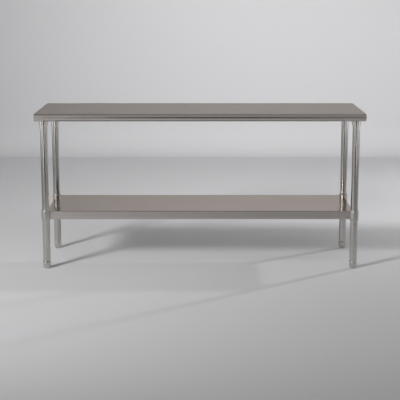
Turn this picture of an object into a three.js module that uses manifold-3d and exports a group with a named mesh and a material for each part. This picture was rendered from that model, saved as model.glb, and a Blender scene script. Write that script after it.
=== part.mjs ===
// Stainless work table with an adjustable undershelf and levelling feet.
// Millimetres, +Z up, origin on the floor under the middle of the worktop, front towards -Y.
import * as THREE from 'three';
import { mergeVertices } from 'three/addons/utils/BufferGeometryUtils.js';
import Module from 'manifold-3d';

const wasm = await Module();
wasm.setup();

// Worktop: a folded sheet with half-round front and rear edges and closed square ends.
const TOP_LENGTH = 1828.8;
const TOP_DEPTH = 609.6;
const TOP_HEIGHT = 881;
const TOP_GAUGE = 1.5;
const EDGE_HEIGHT = 41.3;
const ROLL_LIP = 6;
const END_LIP = 12;

// Legs, and how far their axes stand inside the worktop's outline.
const LEG_RADIUS = 20.65;
const LEG_WALL = 1.5;
const LEG_INSET_X = 47.4;
const LEG_INSET_Y = 54;

// Folded hat-section channels under the worktop and under the shelf.
const HAT_WIDTH = 86;
const HAT_CROWN = 54;
const HAT_HEIGHT = 22;
const HAT_GAUGE = 1.5;
const TAPE_WIDTH = 82;
const TAPE_THICKNESS = 1.2;
const CROSS_HALF_LENGTH = 283;

// Fasteners.
const STUD_RADIUS = 3;
const STUD_LENGTH = 12;
const NUT_ACROSS_FLATS = 10;
const NUT_HEIGHT = 5;
const SET_SCREW_RADIUS = 4;
const SET_SCREW_HEX_RADIUS = 2.3;
const SET_SCREW_HEX_DEPTH = 4;

// Leg sockets.
const SOCKET_RADIUS = 24.5;
const SOCKET_BOTTOM = 817;
const SOCKET_PLATE_X = 52;
const SOCKET_PLATE_Y = 60;
const SOCKET_PLATE_THICKNESS = 3;
const SOCKET_SCREW_DROP = 24;

// Undershelf: a folded sheet whose edges stand just inside the legs' axes.
const SHELF_TOP = 329;
const SHELF_EDGE_HEIGHT = 48;
const SHELF_GAUGE = 1.2;
const SHELF_SETBACK = 3.3;
const SHELF_LIP = 12;

// Cast corner clamps round the legs.
const CLAMP_RADIUS = 25.2;
const CLAMP_BOTTOM = 271;
const CLAMP_TAPER_TOP = 293;
const CLAMP_TOP = 336;
const CLAMP_TOE_RADIUS = 21.9;
const CLAMP_WING_REACH = 70;
const CLAMP_WING_THICKNESS = 4;
const CLAMP_BOSS_RADIUS = 7;
const CLAMP_BOSS_REACH = 34;
const CLAMP_SCREW_HEIGHT = 300;

// Levelling feet, drawn fully screwed in.
const LEG_BOTTOM = 42;
const FOOT_RADIUS = 21.8;
const FOOT_TOE_RADIUS = 15;
const FOOT_COLLAR_BOTTOM = 31.5;
const FOOT_SOCKET_DEPTH = 12;
const INSERT_HEIGHT = 30;
const STEM_RADIUS = 6;
const STEM_NECK_RADIUS = 4.2;
const STEM_TOP = 95;

// Clearance between pieces that touch, and the number of sides on round work.
const GAP = 0.3;
const SIDES = 32;
const SMALL_SIDES = 16;
const HOLE_RADIUS = STUD_RADIUS + GAP;
const TAP_RADIUS = SET_SCREW_RADIUS + GAP;
const BORE_RADIUS = LEG_RADIUS + GAP;

// Heights of the stack under the worktop's sheet.
const TOP_UNDERSIDE = TOP_HEIGHT - TOP_GAUGE;
const TAPE_BOTTOM = TOP_UNDERSIDE - GAP - TAPE_THICKNESS;
const HAT_TOP = TAPE_BOTTOM - GAP;
const SOCKET_TOP = HAT_TOP - HAT_HEIGHT - GAP;
const LEG_TOP = SOCKET_TOP - SOCKET_PLATE_THICKNESS - GAP;
const LEG_X = TOP_LENGTH / 2 - LEG_INSET_X;
const LEG_Y = TOP_DEPTH / 2 - LEG_INSET_Y;
const CENTRE_HALF_LENGTH = LEG_X - HAT_WIDTH / 2 - 2;
const SHELF_HALF_X = LEG_X - SHELF_SETBACK;
const SHELF_HALF_Y = LEG_Y - SHELF_SETBACK;

const SATIN_STEEL = { color: 0x9a948c, roughness: 0.32, metalness: 1 };
const CHANNEL_STEEL = { color: 0xa4a6a8, roughness: 0.5, metalness: 1 };
const CAST_ALUMINIUM = { color: 0xa19d97, roughness: 0.42, metalness: 1 };
const PLATED_STEEL = { color: 0x8f9194, roughness: 0.38, metalness: 1 };
const DARK_STEEL = { color: 0x2f3032, roughness: 0.55, metalness: 1 };
const BUTYL = { color: 0x1d1d1f, roughness: 0.9, metalness: 0 };

// The legs' corners; turn is the quarter turn that faces a corner piece into the table.
const CORNERS = [
  { name: 'front_left', x: -LEG_X, y: -LEG_Y, turn: 0 },
  { name: 'front_right', x: LEG_X, y: -LEG_Y, turn: Math.PI / 2 },
  { name: 'rear_right', x: LEG_X, y: LEG_Y, turn: Math.PI },
  { name: 'rear_left', x: -LEG_X, y: LEG_Y, turn: -Math.PI / 2 },
];

const table = new THREE.Group();

function add(name, geometry, finish, x = 0, y = 0, turn = 0) {
  const mesh = new THREE.Mesh(geometry, new THREE.MeshStandardMaterial(finish));
  mesh.name = name;
  mesh.position.set(x, y, 0);
  mesh.rotation.z = turn;
  table.add(mesh);
}

// Booleans.

function toSolid(geometry) {
  const bare = geometry.clone();
  bare.deleteAttribute('normal');
  bare.deleteAttribute('uv');
  const merged = mergeVertices(bare);
  const vertProperties = new Float32Array(merged.attributes.position.array);
  const triVerts = new Uint32Array(merged.index.array);
  return new wasm.Manifold(new wasm.Mesh({ numProp: 3, vertProperties, triVerts }));
}

function toGeometry(solid) {
  const mesh = solid.getMesh();
  const geometry = new THREE.BufferGeometry();
  geometry.setAttribute('position', new THREE.BufferAttribute(mesh.vertProperties, 3));
  geometry.setIndex(new THREE.BufferAttribute(mesh.triVerts, 1));
  geometry.computeVertexNormals();
  return geometry;
}

function cut(body, tools) {
  return toGeometry(tools.reduce((rest, tool) => rest.subtract(toSolid(tool)), toSolid(body)));
}

// Simple shapes, all standing on the Z axis.

function block(x0, x1, y0, y1, z0, z1) {
  const geometry = new THREE.BoxGeometry(x1 - x0, y1 - y0, z1 - z0);
  geometry.translate((x0 + x1) / 2, (y0 + y1) / 2, (z0 + z1) / 2);
  return geometry;
}

function rod(radius, z0, z1, sides = SIDES) {
  const geometry = new THREE.CylinderGeometry(radius, radius, z1 - z0, sides);
  geometry.rotateX(Math.PI / 2);
  geometry.translate(0, 0, (z0 + z1) / 2);
  return geometry;
}

function turned(profile, sides = SIDES) {
  const points = profile.map(([radius, z]) => new THREE.Vector2(radius, z));
  const geometry = new THREE.LatheGeometry(points, sides);
  geometry.rotateX(Math.PI / 2);
  return geometry;
}

function ring(outer, inner, z0, z1, sides = SIDES) {
  return turned([[inner, z0], [outer, z0], [outer, z1], [inner, z1], [inner, z0]], sides);
}

// A rod of the given radius lying along +X at height z, from x0 to x1.
function crossRod(radius, x0, x1, z, sides = SMALL_SIDES) {
  const geometry = new THREE.CylinderGeometry(radius, radius, x1 - x0, sides);
  geometry.rotateZ(Math.PI / 2);
  geometry.translate((x0 + x1) / 2, 0, z);
  return geometry;
}

// Extrudes an outline drawn in Y and Z along X, centred on the origin.
function alongX(shape, length, curveSegments = 12) {
  const geometry = new THREE.ExtrudeGeometry(shape, { depth: length, bevelEnabled: false, curveSegments });
  geometry.translate(0, 0, -length / 2);
  const axes = new THREE.Matrix4().makeBasis(
    new THREE.Vector3(0, 1, 0),
    new THREE.Vector3(0, 0, 1),
    new THREE.Vector3(1, 0, 0),
  );
  geometry.applyMatrix4(axes);
  return geometry;
}

// The worktop's section: a flat slab whose front and rear edges are half round.
function topOutline(inset) {
  const radius = EDGE_HEIGHT / 2 - inset;
  const centreY = TOP_DEPTH / 2 - EDGE_HEIGHT / 2;
  const centreZ = TOP_HEIGHT - EDGE_HEIGHT / 2;
  const shape = new THREE.Shape();
  shape.moveTo(-centreY, centreZ - radius);
  shape.lineTo(centreY, centreZ - radius);
  shape.absarc(centreY, centreZ, radius, -Math.PI / 2, Math.PI / 2, false);
  shape.lineTo(-centreY, centreZ + radius);
  shape.absarc(-centreY, centreZ, radius, Math.PI / 2, Math.PI * 1.5, false);
  return shape;
}

function worktop() {
  const bottom = TOP_HEIGHT - EDGE_HEIGHT;
  const openX = TOP_LENGTH / 2 - END_LIP;
  const openY = TOP_DEPTH / 2 - EDGE_HEIGHT / 2 - ROLL_LIP;
  const outside = alongX(topOutline(0), TOP_LENGTH);
  const inside = alongX(topOutline(TOP_GAUGE), TOP_LENGTH - 2 * TOP_GAUGE);
  const mouth = block(-openX, openX, -openY, openY, bottom - 5, bottom + 5);
  return cut(outside, [inside, mouth]);
}

// A hat section with its flanges up at the given height, drilled for studs at [x, y].
function hatChannel(halfLength, topZ, studs) {
  const half = HAT_WIDTH / 2;
  const crown = HAT_CROWN / 2;
  const right = [
    [crown, -HAT_HEIGHT],
    [crown, -HAT_GAUGE],
    [half, -HAT_GAUGE],
    [half, 0],
    [crown - HAT_GAUGE, 0],
    [crown - HAT_GAUGE, HAT_GAUGE - HAT_HEIGHT],
  ];
  const left = right.map(([y, z]) => [-y, z]).reverse();
  const points = [...right, ...left].map(([y, z]) => new THREE.Vector2(y, z + topZ));
  const channel = alongX(new THREE.Shape(points), 2 * halfLength);
  const holes = studs.map(([x, y]) => {
    return rod(HOLE_RADIUS, topZ - HAT_GAUGE - 1, topZ + 1, SMALL_SIDES).translate(x, y, 0);
  });
  return cut(channel, holes);
}

function tapeStrip(halfLength, studs) {
  const half = TAPE_WIDTH / 2;
  const strip = block(-halfLength, halfLength, -half, half, TAPE_BOTTOM, TAPE_BOTTOM + TAPE_THICKNESS);
  const holes = studs.map(([x, y]) => {
    return rod(HOLE_RADIUS, TAPE_BOTTOM - 1, TOP_UNDERSIDE + 1, SMALL_SIDES).translate(x, y, 0);
  });
  return cut(strip, holes);
}

function weldStud() {
  const top = TOP_UNDERSIDE - GAP;
  return rod(STUD_RADIUS, top - STUD_LENGTH, top, SMALL_SIDES);
}

function studNut() {
  const top = HAT_TOP - HAT_GAUGE - GAP;
  const corner = NUT_ACROSS_FLATS / Math.sqrt(3);
  const hexagon = rod(corner, top - NUT_HEIGHT, top, 6);
  return cut(hexagon, [rod(HOLE_RADIUS, top - NUT_HEIGHT - 1, top + 1, SMALL_SIDES)]);
}

// A set screw lying along +X with its point at x0 and its hexagon socket at x1.
function setScrew(x0, x1, z) {
  const body = crossRod(SET_SCREW_RADIUS, x0, x1, z);
  const hexagon = crossRod(SET_SCREW_HEX_RADIUS, x1 - SET_SCREW_HEX_DEPTH, x1 + 1, z, 6);
  return cut(body, [hexagon]);
}

// A cup for the leg's upper end under a rectangular plate, tapped through towards +X.
function legSocket() {
  const plateBottom = SOCKET_TOP - SOCKET_PLATE_THICKNESS;
  const halfX = SOCKET_PLATE_Y / 2;
  const halfY = SOCKET_PLATE_X / 2;
  const chamfer = 1.2;
  const barrel = turned([
    [0, SOCKET_BOTTOM],
    [SOCKET_RADIUS - chamfer, SOCKET_BOTTOM],
    [SOCKET_RADIUS, SOCKET_BOTTOM + chamfer],
    [SOCKET_RADIUS, plateBottom + 1],
    [0, plateBottom + 1],
  ]);
  const plate = block(-halfX, halfX, -halfY, halfY, plateBottom, SOCKET_TOP);
  const bore = rod(BORE_RADIUS, SOCKET_BOTTOM - 1, plateBottom);
  const tapping = crossRod(TAP_RADIUS, 0, SOCKET_RADIUS + 5, SOCKET_TOP - SOCKET_SCREW_DROP);
  const solid = toSolid(barrel).add(toSolid(plate)).subtract(toSolid(bore)).subtract(toSolid(tapping));
  return toGeometry(solid);
}

function leg() {
  return ring(LEG_RADIUS, LEG_RADIUS - LEG_WALL, LEG_BOTTOM, LEG_TOP);
}

function footInsert() {
  const outer = LEG_RADIUS - LEG_WALL - GAP;
  return ring(outer, STEM_RADIUS + GAP, LEG_BOTTOM, LEG_BOTTOM + INSERT_HEIGHT);
}

// The threaded stem, with a neck that the foot turns on.
function footStem() {
  const footTop = LEG_BOTTOM - GAP;
  return turned([
    [0, footTop - FOOT_SOCKET_DEPTH + GAP],
    [STEM_NECK_RADIUS, footTop - FOOT_SOCKET_DEPTH + GAP],
    [STEM_NECK_RADIUS, footTop + GAP],
    [STEM_RADIUS, footTop + GAP],
    [STEM_RADIUS, STEM_TOP - 1.5],
    [STEM_RADIUS - 1.5, STEM_TOP],
    [0, STEM_TOP],
  ], SMALL_SIDES);
}

// A bullet foot: a flat toe, sides that swell on a quarter of an ellipse, and a straight collar.
function bulletFoot() {
  const top = LEG_BOTTOM - GAP;
  const neck = STEM_NECK_RADIUS + GAP;
  const steps = 5;
  const sides = [];
  for (let i = 0; i <= steps; i += 1) {
    const angle = (i / steps) * Math.PI / 2;
    const radius = FOOT_TOE_RADIUS + (FOOT_RADIUS - FOOT_TOE_RADIUS) * Math.sin(angle);
    sides.push([radius, 1 + (FOOT_COLLAR_BOTTOM - 1) * (1 - Math.cos(angle))]);
  }
  return turned([
    [0, 0],
    [FOOT_TOE_RADIUS - 1, 0],
    ...sides,
    [FOOT_RADIUS, top - 1],
    [FOOT_RADIUS - 1, top],
    [neck, top],
    [neck, top - FOOT_SOCKET_DEPTH],
    [0, top - FOOT_SOCKET_DEPTH],
  ]);
}

function undershelf() {
  const bottom = SHELF_TOP - SHELF_EDGE_HEIGHT;
  const openX = SHELF_HALF_X - SHELF_LIP;
  const openY = SHELF_HALF_Y - SHELF_LIP;
  const inX = SHELF_HALF_X - SHELF_GAUGE;
  const inY = SHELF_HALF_Y - SHELF_GAUGE;
  const outside = block(-SHELF_HALF_X, SHELF_HALF_X, -SHELF_HALF_Y, SHELF_HALF_Y, bottom, SHELF_TOP);
  const inside = block(-inX, inX, -inY, inY, bottom + SHELF_GAUGE, SHELF_TOP - SHELF_GAUGE);
  const mouth = block(-openX, openX, -openY, openY, bottom - 5, bottom + 5);
  const corners = CORNERS.map(({ x, y }) => {
    return rod(CLAMP_RADIUS + GAP, bottom - 5, SHELF_TOP + 5).translate(x, y, 0);
  });
  return cut(outside, [inside, mouth, ...corners]);
}

// A collar round the leg with two wings along the shelf's folded edges (+X and +Y)
// and a tapped boss between them for the set screw.
function cornerClamp() {
  const chamfer = 1.5;
  const collar = turned([
    [0, CLAMP_BOTTOM],
    [CLAMP_TOE_RADIUS, CLAMP_BOTTOM],
    [CLAMP_RADIUS, CLAMP_TAPER_TOP],
    [CLAMP_RADIUS, CLAMP_TOP - chamfer],
    [CLAMP_RADIUS - chamfer, CLAMP_TOP],
    [0, CLAMP_TOP],
  ]);
  const near = SHELF_SETBACK + SHELF_GAUGE + GAP;
  const far = near + CLAMP_WING_THICKNESS;
  const low = SHELF_TOP - SHELF_EDGE_HEIGHT + SHELF_GAUGE + GAP;
  const high = SHELF_TOP - SHELF_GAUGE - GAP;
  const wingX = block(0, CLAMP_WING_REACH, near, far, low, high);
  const wingY = block(near, far, 0, CLAMP_WING_REACH, low, high);
  const boss = crossRod(CLAMP_BOSS_RADIUS, 0, CLAMP_BOSS_REACH, CLAMP_SCREW_HEIGHT).rotateZ(Math.PI / 4);
  const bore = rod(BORE_RADIUS, CLAMP_BOTTOM - 1, CLAMP_TOP + 1);
  const tapping = crossRod(TAP_RADIUS, 0, CLAMP_BOSS_REACH + 1, CLAMP_SCREW_HEIGHT).rotateZ(Math.PI / 4);
  let solid = toSolid(collar);
  for (const piece of [wingX, wingY, boss]) {
    solid = solid.add(toSolid(piece));
  }
  return toGeometry(solid.subtract(toSolid(bore)).subtract(toSolid(tapping)));
}

function addWorktop() {
  const offset = (HAT_WIDTH + HAT_CROWN) / 4;
  const centreStuds = [[-600, offset], [-200, -offset], [200, offset], [600, -offset]];
  const crossStuds = [[-120, offset], [120, -offset]];
  const sides = [['left', -LEG_X], ['right', LEG_X]];
  add('worktop', worktop(), SATIN_STEEL);
  add('centre_channel', hatChannel(CENTRE_HALF_LENGTH, HAT_TOP, centreStuds), CHANNEL_STEEL);
  add('centre_tape', tapeStrip(CENTRE_HALF_LENGTH, centreStuds), BUTYL);
  const places = centreStuds.map(([x, y]) => [x, y]);
  for (const [side, x] of sides) {
    const channel = hatChannel(CROSS_HALF_LENGTH, HAT_TOP, crossStuds);
    add(`${side}_cross_channel`, channel, CHANNEL_STEEL, x, 0, Math.PI / 2);
    add(`${side}_tape`, tapeStrip(CROSS_HALF_LENGTH, crossStuds), BUTYL, x, 0, Math.PI / 2);
    places.push(...crossStuds.map(([along, across]) => [x - across, along]));
  }
  places.forEach(([x, y], i) => {
    add(`weld_stud_${i + 1}`, weldStud(), PLATED_STEEL, x, y);
    add(`stud_nut_${i + 1}`, studNut(), PLATED_STEEL, x, y);
  });
}

function addLegs() {
  for (const { name, x, y } of CORNERS) {
    const inward = y < 0 ? Math.PI / 2 : -Math.PI / 2;
    const screwZ = SOCKET_TOP - SOCKET_SCREW_DROP;
    add(`leg_socket_${name}`, legSocket(), SATIN_STEEL, x, y, inward);
    add(`socket_screw_${name}`, setScrew(BORE_RADIUS, SOCKET_RADIUS + 2, screwZ), DARK_STEEL, x, y, inward);
    add(`leg_${name}`, leg(), SATIN_STEEL, x, y);
    add(`foot_insert_${name}`, footInsert(), PLATED_STEEL, x, y);
    add(`foot_stem_${name}`, footStem(), PLATED_STEEL, x, y);
    add(`bullet_foot_${name}`, bulletFoot(), SATIN_STEEL, x, y);
  }
}

function addUndershelf() {
  add('undershelf', undershelf(), SATIN_STEEL);
  const shelfHatTop = SHELF_TOP - SHELF_GAUGE - GAP;
  add('shelf_channel', hatChannel(SHELF_HALF_X - SHELF_LIP, shelfHatTop, []), CHANNEL_STEEL);
  for (const { name, x, y, turn } of CORNERS) {
    const screw = setScrew(BORE_RADIUS, CLAMP_BOSS_REACH - 1, CLAMP_SCREW_HEIGHT);
    add(`corner_clamp_${name}`, cornerClamp(), CAST_ALUMINIUM, x, y, turn);
    add(`clamp_screw_${name}`, screw, DARK_STEEL, x, y, turn + Math.PI / 4);
  }
}

addWorktop();
addLegs();
addUndershelf();

export default table;
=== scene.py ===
"""Looks of a stainless work table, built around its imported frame. All sizes are in metres."""

import math

import bmesh
import bpy
from bpy.props import FloatProperty, FloatVectorProperty, IntProperty, PointerProperty
from bpy.types import Operator, Panel, PropertyGroup
from mathutils import Matrix, Vector


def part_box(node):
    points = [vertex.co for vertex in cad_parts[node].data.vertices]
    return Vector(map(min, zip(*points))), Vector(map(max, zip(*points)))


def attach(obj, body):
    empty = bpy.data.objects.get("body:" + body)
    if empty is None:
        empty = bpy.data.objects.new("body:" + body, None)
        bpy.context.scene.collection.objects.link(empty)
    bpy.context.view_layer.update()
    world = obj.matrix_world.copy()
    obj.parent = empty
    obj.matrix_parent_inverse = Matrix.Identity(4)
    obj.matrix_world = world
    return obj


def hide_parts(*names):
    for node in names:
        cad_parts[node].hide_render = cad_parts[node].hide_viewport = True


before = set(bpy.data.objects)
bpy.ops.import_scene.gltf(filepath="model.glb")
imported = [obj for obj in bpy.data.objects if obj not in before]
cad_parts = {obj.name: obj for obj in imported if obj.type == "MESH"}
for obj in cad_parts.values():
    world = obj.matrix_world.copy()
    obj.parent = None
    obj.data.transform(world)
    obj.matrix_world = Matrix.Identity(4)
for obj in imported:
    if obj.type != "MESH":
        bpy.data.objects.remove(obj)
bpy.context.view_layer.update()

bl_info = {
    "name": "Stainless Work Table",
    "version": (1, 0, 0),
    "blender": (4, 5, 0),
    "location": "3D View > Sidebar > Work Table",
    "description": "Builds a stainless work table with an undershelf around its packed frame",
    "category": "Object",
}

CORNERS = ("front_left", "front_right", "rear_right", "rear_left")
STUDS = range(1, 9)
SCREW_RADIUS = 0.004
TAPPING_RADIUS = 0.0043
SCREW_PITCH = 0.00125
HEXAGON_RADIUS = 0.0023
HEXAGON_DEPTH = 0.004
SCREW_STANDS_OUT = 0.002
CLAMP_SCREW_REACH = 0.033
NECK_RADIUS = 0.0042
Z_AXIS = Vector((0, 0, 1))


# Places and sizes that come from the frame.

def middle(node):
    """The middle of a CAD node's box."""
    low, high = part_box(node)
    return (low + high) / 2


def radius_of(node):
    """The radius of an upright round CAD node."""
    low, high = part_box(node)
    return (high.x - low.x) / 2


def leg_axis(corner):
    """Where a leg's axis meets the floor."""
    place = middle(f"leg_{corner}")
    return Vector((place.x, place.y, 0))


def inward_turn(corner):
    """The quarter turn that faces a corner piece's +X and +Y sides into the table."""
    return CORNERS.index(corner) * math.pi / 2


# Settings that a user may change.

class SheetSettings(PropertyGroup):
    top_gauge: FloatProperty(
        name="Worktop gauge", description="Thickness of the worktop's sheet",
        default=0.0015, unit="LENGTH")
    shelf_gauge: FloatProperty(
        name="Shelf gauge", description="Thickness of the undershelf's sheet",
        default=0.0012, unit="LENGTH")
    channel_gauge: FloatProperty(
        name="Channel gauge", description="Thickness of the folded channels",
        default=0.0015, unit="LENGTH")
    top_end_bend: FloatProperty(
        name="Worktop end bend", description="Outside radius where the worktop turns down at its ends",
        default=0.0038, unit="LENGTH")
    shelf_bend: FloatProperty(
        name="Shelf bend", description="Outside radius of the undershelf's folds",
        default=0.0028, unit="LENGTH")
    channel_bend: FloatProperty(
        name="Channel bend", description="Radius of the channels' folds",
        default=0.003, unit="LENGTH")
    roll_lip: FloatProperty(
        name="Worktop lip", description="Flat return under the worktop's edges",
        default=0.006, unit="LENGTH")
    shelf_lip: FloatProperty(
        name="Shelf lip", description="Flat return under the undershelf's edges",
        default=0.012, unit="LENGTH")
    wing: FloatProperty(
        name="Clamp wing", description="Thickness of the corner clamps' wings inside the shelf",
        default=0.004, unit="LENGTH")
    channel_crown: FloatProperty(
        name="Channel crown", description="Width of the channels' flat crown",
        default=0.054, unit="LENGTH")
    roll_segments: IntProperty(
        name="Roll segments", description="Steps round a rolled edge's half circle",
        default=32, min=8)


class RoundSettings(PropertyGroup):
    sides: IntProperty(
        name="Sides", description="Steps round a leg, socket, clamp or foot",
        default=96, min=24)
    small_sides: IntProperty(
        name="Fastener sides", description="Steps round a stud or screw",
        default=48, min=12)
    leg_wall: FloatProperty(
        name="Leg wall", description="Wall of the leg's tube",
        default=0.0015, unit="LENGTH")
    clearance: FloatProperty(
        name="Clearance", description="Gap between a bore and what stands in it",
        default=0.0003, unit="LENGTH")
    stem_pitch: FloatProperty(
        name="Stem pitch", description="Pitch of the foot stem's thread",
        default=0.002, unit="LENGTH")
    stud_pitch: FloatProperty(
        name="Stud pitch", description="Pitch of the weld stud's thread",
        default=0.001, unit="LENGTH")


class FinishSettings(PropertyGroup):
    sheet_colour: FloatVectorProperty(
        name="Sheet colour", description="Colour of the satin stainless sheet",
        default=(0.585, 0.545, 0.515), size=3, min=0, max=1, subtype="COLOR")
    tube_colour: FloatVectorProperty(
        name="Tube colour", description="Colour of the polished stainless tube",
        default=(0.56, 0.54, 0.515), size=3, min=0, max=1, subtype="COLOR")
    casting_colour: FloatVectorProperty(
        name="Casting colour", description="Colour of the cast aluminium clamps",
        default=(0.52, 0.505, 0.485), size=3, min=0, max=1, subtype="COLOR")
    channel_colour: FloatVectorProperty(
        name="Channel colour", description="Colour of the dull mill-finish channels",
        default=(0.50, 0.505, 0.51), size=3, min=0, max=1, subtype="COLOR")
    plating_colour: FloatVectorProperty(
        name="Plating colour", description="Colour of the zinc-plated fasteners",
        default=(0.52, 0.53, 0.55), size=3, min=0, max=1, subtype="COLOR")
    oxide_colour: FloatVectorProperty(
        name="Oxide colour", description="Colour of the blackened set screws",
        default=(0.045, 0.045, 0.05), size=3, min=0, max=1, subtype="COLOR")
    tape_colour: FloatVectorProperty(
        name="Tape colour", description="Colour of the sound-deadening tape",
        default=(0.02, 0.02, 0.022), size=3, min=0, max=1, subtype="COLOR")
    floor_colour: FloatVectorProperty(
        name="Backdrop colour", description="Colour of the seamless floor and backdrop",
        default=(0.60, 0.60, 0.61), size=3, min=0, max=1, subtype="COLOR")
    # This colour also paints the shade strip on the floor under the camera.
    screen_colour: FloatVectorProperty(
        name="Screen colour", description="Colour of the dark screen behind the camera",
        default=(0.02, 0.02, 0.02), size=3, min=0, max=1, subtype="COLOR")


class StageSettings(PropertyGroup):
    lens: FloatProperty(
        name="Lens", description="Focal length of the camera on a 36 mm sensor, in millimetres",
        default=102.4)
    camera_distance: FloatProperty(
        name="Camera distance", description="How far the camera stands in front of the table's middle",
        default=6.522, unit="LENGTH")
    camera_height: FloatProperty(
        name="Camera height", description="Height of the camera above the floor",
        default=1.5885, unit="LENGTH")
    camera_pitch: FloatProperty(
        name="Camera pitch", description="How far the camera looks down",
        default=math.radians(10.80), unit="ROTATION")
    backdrop_distance: FloatProperty(
        name="Backdrop distance", description="How far the backdrop's wall stands behind the table's middle",
        default=4.15, unit="LENGTH")
    backdrop_height: FloatProperty(
        name="Backdrop height", description="Height of the backdrop's wall",
        default=9.0, unit="LENGTH")
    backdrop_sweep: FloatProperty(
        name="Backdrop sweep", description="Radius of the sweep from the floor to the backdrop's wall",
        default=0.28, unit="LENGTH")
    key_power: FloatProperty(
        name="Key light", description="Power of the key light at the front left, in watts",
        default=70)
    rim_power: FloatProperty(
        name="Rim light", description="Power of the small light at the back right, in watts",
        default=18)
    pool_power: FloatProperty(
        name="Floor light", description="Power of the light on the floor at the right, in watts",
        default=9)
    front_power: FloatProperty(
        name="Front lights", description="Power of each light on the floor beside the camera, in watts",
        default=80)
    side_power: FloatProperty(
        name="Side softboxes", description="Power of each dim panel at the table's ends, in watts",
        default=30)
    wall_power: FloatProperty(
        name="Wall lights", description="Power of each light on the backdrop's wall, in watts",
        default=23)
    room_light: FloatProperty(
        name="Room light", description="Strength of the soft light from overhead",
        default=0.31)
    horizon_share: FloatProperty(
        name="Horizon share", description="Share of the room light that comes from low down",
        default=0.25, min=0, max=1)


# Building blocks for meshes.

def wire(bm, points, closed=False):
    """Joins points with edges; each point is (co, setback), and the setback, which rounds its corner in
    profile_wire, is not used here.
    """
    verts = [bm.verts.new(co) for co, _ in points]
    pairs = list(zip(verts, verts[1:]))
    if closed:
        pairs.append((verts[-1], verts[0]))
    for pair in pairs:
        bm.edges.new(pair)
    return verts


def round_corners(bm, verts, setbacks, segments):
    """Rounds wire corners by their setbacks."""
    for setback in sorted({s for s in setbacks if s > 0}):
        chosen = [v for v, s in zip(verts, setbacks) if s == setback]
        bmesh.ops.bevel(
            bm, geom=chosen, offset=setback, offset_type="OFFSET", segments=segments,
            profile=0.5, affect="VERTICES", clamp_overlap=True, material=-1)


def profile_wire(bm, points, segments=4, closed=False):
    """A wire through (co, setback) points with its corners rounded."""
    verts = wire(bm, points, closed)
    round_corners(bm, verts, [setback for _, setback in points], segments)


def full_turn(bm, sides):
    """Spins everything once round the Z axis."""
    bmesh.ops.spin(
        bm, geom=bm.verts[:] + bm.edges[:], cent=(0, 0, 0), axis=Z_AXIS, dvec=(0, 0, 0),
        angle=2 * math.pi, steps=sides, use_merge=True, use_normal_flip=False, use_duplicate=False)
    return cleaned(bm)


def turned(profile, sides, segments=4, closed=False):
    """A turned solid about the Z axis from (radius, height, setback) points."""
    bm = bmesh.new()
    profile_wire(bm, [((r, 0, z), s) for r, z, s in profile], segments, closed)
    return full_turn(bm, sides)


def swept_along_x(bm, length):
    """Sweeps a wire along X into a sheet."""
    swept = bmesh.ops.extrude_edge_only(bm, edges=bm.edges[:])["geom"]
    moved = [item for item in swept if isinstance(item, bmesh.types.BMVert)]
    bmesh.ops.translate(bm, vec=(length, 0, 0), verts=moved)
    bmesh.ops.recalc_face_normals(bm, faces=bm.faces[:])


def cleaned(bm):
    """Merges doubles and faces everything outwards."""
    bmesh.ops.remove_doubles(bm, verts=bm.verts[:], dist=1e-6)
    bmesh.ops.dissolve_degenerate(bm, dist=1e-7, edges=bm.edges[:])
    bmesh.ops.recalc_face_normals(bm, faces=bm.faces[:])
    return bm


def rounded_block(low, high, radius, segments=3, upright_radius=None):
    """A block between two corners with rounded edges, and its upright edges rounded further."""
    bm = bmesh.new()
    bmesh.ops.create_cube(bm, size=1)
    size = Vector(high) - Vector(low)
    bmesh.ops.scale(bm, vec=size, verts=bm.verts[:])
    bmesh.ops.translate(bm, vec=(Vector(high) + Vector(low)) / 2, verts=bm.verts[:])
    if upright_radius:
        upright = [e for e in bm.edges if abs((e.verts[0].co - e.verts[1].co).normalized().z) > 0.9]
        bevel_edges(bm, upright, upright_radius, segments * 2)
    sharp = [e for e in bm.edges if e.calc_face_angle(0) > math.radians(60)]
    bevel_edges(bm, sharp, radius, segments)
    return cleaned(bm)


def bevel_edges(bm, edges, offset, segments):
    """Rounds edges by an offset."""
    bmesh.ops.bevel(
        bm, geom=edges, offset=offset, offset_type="OFFSET", segments=segments,
        profile=0.5, affect="EDGES", clamp_overlap=True, material=-1)


def threaded(radius, pitch, low, high, sides, point=0.0):
    """A threaded rod: a core with a helical ridge wound round it, chamfered at both ends."""
    depth = 0.6 * pitch
    core = radius - depth
    chamfer = min(depth + point, core / 2)
    bm = turned([(0, low, 0), (core, low, chamfer / 2), (core, high, chamfer / 2), (0, high, 0)], sides, 2)
    ridge = [
        (core - 0.1 * pitch, -0.46 * pitch),
        (radius, -0.08 * pitch),
        (radius, 0.08 * pitch),
        (core - 0.1 * pitch, 0.46 * pitch),
    ]
    start = low + chamfer + pitch / 2
    turns = (high - chamfer - pitch / 2 - start) / pitch
    verts = [bm.verts.new((r, 0, start + z)) for r, z in ridge]
    face = bm.faces.new(verts)
    bmesh.ops.spin(
        bm, geom=[face, *face.edges, *verts], cent=(0, 0, 0), axis=Z_AXIS,
        dvec=(0, 0, pitch / sides), angle=2 * math.pi * turns, steps=round(turns * sides),
        use_merge=False, use_normal_flip=False, use_duplicate=False)
    bmesh.ops.recalc_face_normals(bm, faces=bm.faces[:])
    return bm


def placed(bm, matrix):
    """Moves a bmesh by a matrix and returns it."""
    bmesh.ops.transform(bm, matrix=matrix, verts=bm.verts[:])
    return bm


def shade_smooth(bm):
    """Shades every face smooth."""
    for face in bm.faces:
        face.smooth = True


def to_mesh(bm, name):
    """Turns a bmesh into a mesh and frees it."""
    mesh = bpy.data.meshes.new(name)
    bm.to_mesh(mesh)
    bm.free()
    return mesh


def merged(*parts):
    """One bmesh that holds several."""
    whole = bmesh.new()
    for part in parts:
        whole.from_mesh(to_mesh(part, "part"))
    return whole


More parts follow.
